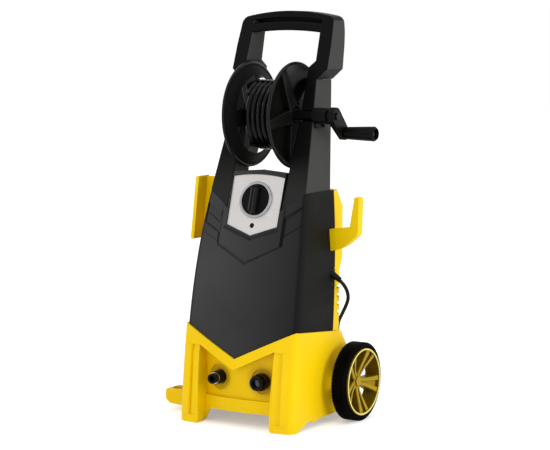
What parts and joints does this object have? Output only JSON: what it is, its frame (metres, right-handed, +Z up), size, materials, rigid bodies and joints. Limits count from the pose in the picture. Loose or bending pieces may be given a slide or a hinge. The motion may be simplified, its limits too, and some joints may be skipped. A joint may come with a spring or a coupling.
{
  "type": "pressure washer",
  "caption": "Upright electric pressure washer on wheels, with a crank-wound hose reel between its handle arms, a rotary switch, hooks and a power cord.",
  "frame": {"origin": "on the floor, at the bottom centre of the washer's box without its cord", "axes": "+Z up, the control face looks towards -Y, +X is the crank's side"},
  "size_m": [0.459, 0.4967, 0.88],
  "materials": {
    "charcoal": "fine grain, matt",
    "yellow": "smooth, satin",
    "black_plastic": "satin",
    "grey_plastic": "satin",
    "silver_plate": "brushed, satin",
    "bezel": "polished",
    "hose": "smooth, satin",
    "tyre": "matt rubber",
    "steel": "zinc plated",
    "ring": "plated",
    "cast": "painted grey",
    "pump_metal": "die cast",
    "cord": "satin"
  },
  "bodies": {
    "root": {"front_cover": "charcoal", "arm_left": "charcoal", "arm_right": "charcoal", "upper_handle": "charcoal", "rear_cover": "yellow", "base": "yellow", "cord_hook": "yellow", "lance_holder": "yellow", "control_plate": "silver_plate", "knob_bezel": "bezel", "pilot_cap": "black_plastic", "switch_body": "black_plastic", "reel_bearing_left": "black_plastic", "reel_bearing_right": "black_plastic", "outlet_connector": "black_plastic", "inlet_connector": "black_plastic", "fan_cover": "black_plastic", "capacitor": "black_plastic", "cord_boot": "black_plastic", "power_plug": "black_plastic", "hub_cap_left": "black_plastic", "hub_cap_right": "black_plastic", "cord_gland": "grey_plastic", "inlet_filter": "grey_plastic", "axle": "steel", "bearing_bolts": "steel", "arm_screws": "steel", "cover_screws": "steel", "outlet_ring": "ring", "motor": "cast", "pump_body": "pump_metal", "pump_manifold": "pump_metal", "power_cord": "cord", "cord_tail": "cord", "cord_coil": "cord"},
    "reel": {"reel_flange_left": "black_plastic", "reel_flange_right": "black_plastic", "reel_drum": "black_plastic", "hose_winding": "hose", "reel_shaft": "black_plastic", "crank_arm": "black_plastic", "crank_nut": "steel", "grip_pin": "steel"},
    "crank_grip": {"crank_grip": "black_plastic"},
    "switch_knob": {"switch_knob": "black_plastic"},
    "wheel_left": {"tyre_left": "tyre", "rim_left": "yellow"},
    "wheel_right": {"tyre_right": "tyre", "rim_right": "yellow"}
  },
  "joints": [
    {"name": "wheel_left_spin", "type": "hinge", "parent": "root", "child": "wheel_left", "pos_m": [-0.1825, 0.064, 0.085], "axis": [1, 0, 0], "continuous": true},
    {"name": "wheel_right_spin", "type": "hinge", "parent": "root", "child": "wheel_right", "pos_m": [0.1825, 0.064, 0.085], "axis": [1, 0, 0], "continuous": true},
    {"name": "reel_turn", "type": "hinge", "parent": "root", "child": "reel", "pos_m": [0, 0.018, 0.657], "axis": [1, 0, 0], "continuous": true},
    {"name": "crank_grip_spin", "type": "hinge", "parent": "reel", "child": "crank_grip", "pos_m": [0.188, 0.058, 0.62], "axis": [1, 0, 0], "continuous": true},
    {"name": "switch_turn", "type": "hinge", "parent": "root", "child": "switch_knob", "pos_m": [0, -0.05237, 0.478], "axis": [0, -0.9538, 0.3004], "range_deg": [0, 90]}
  ]
}
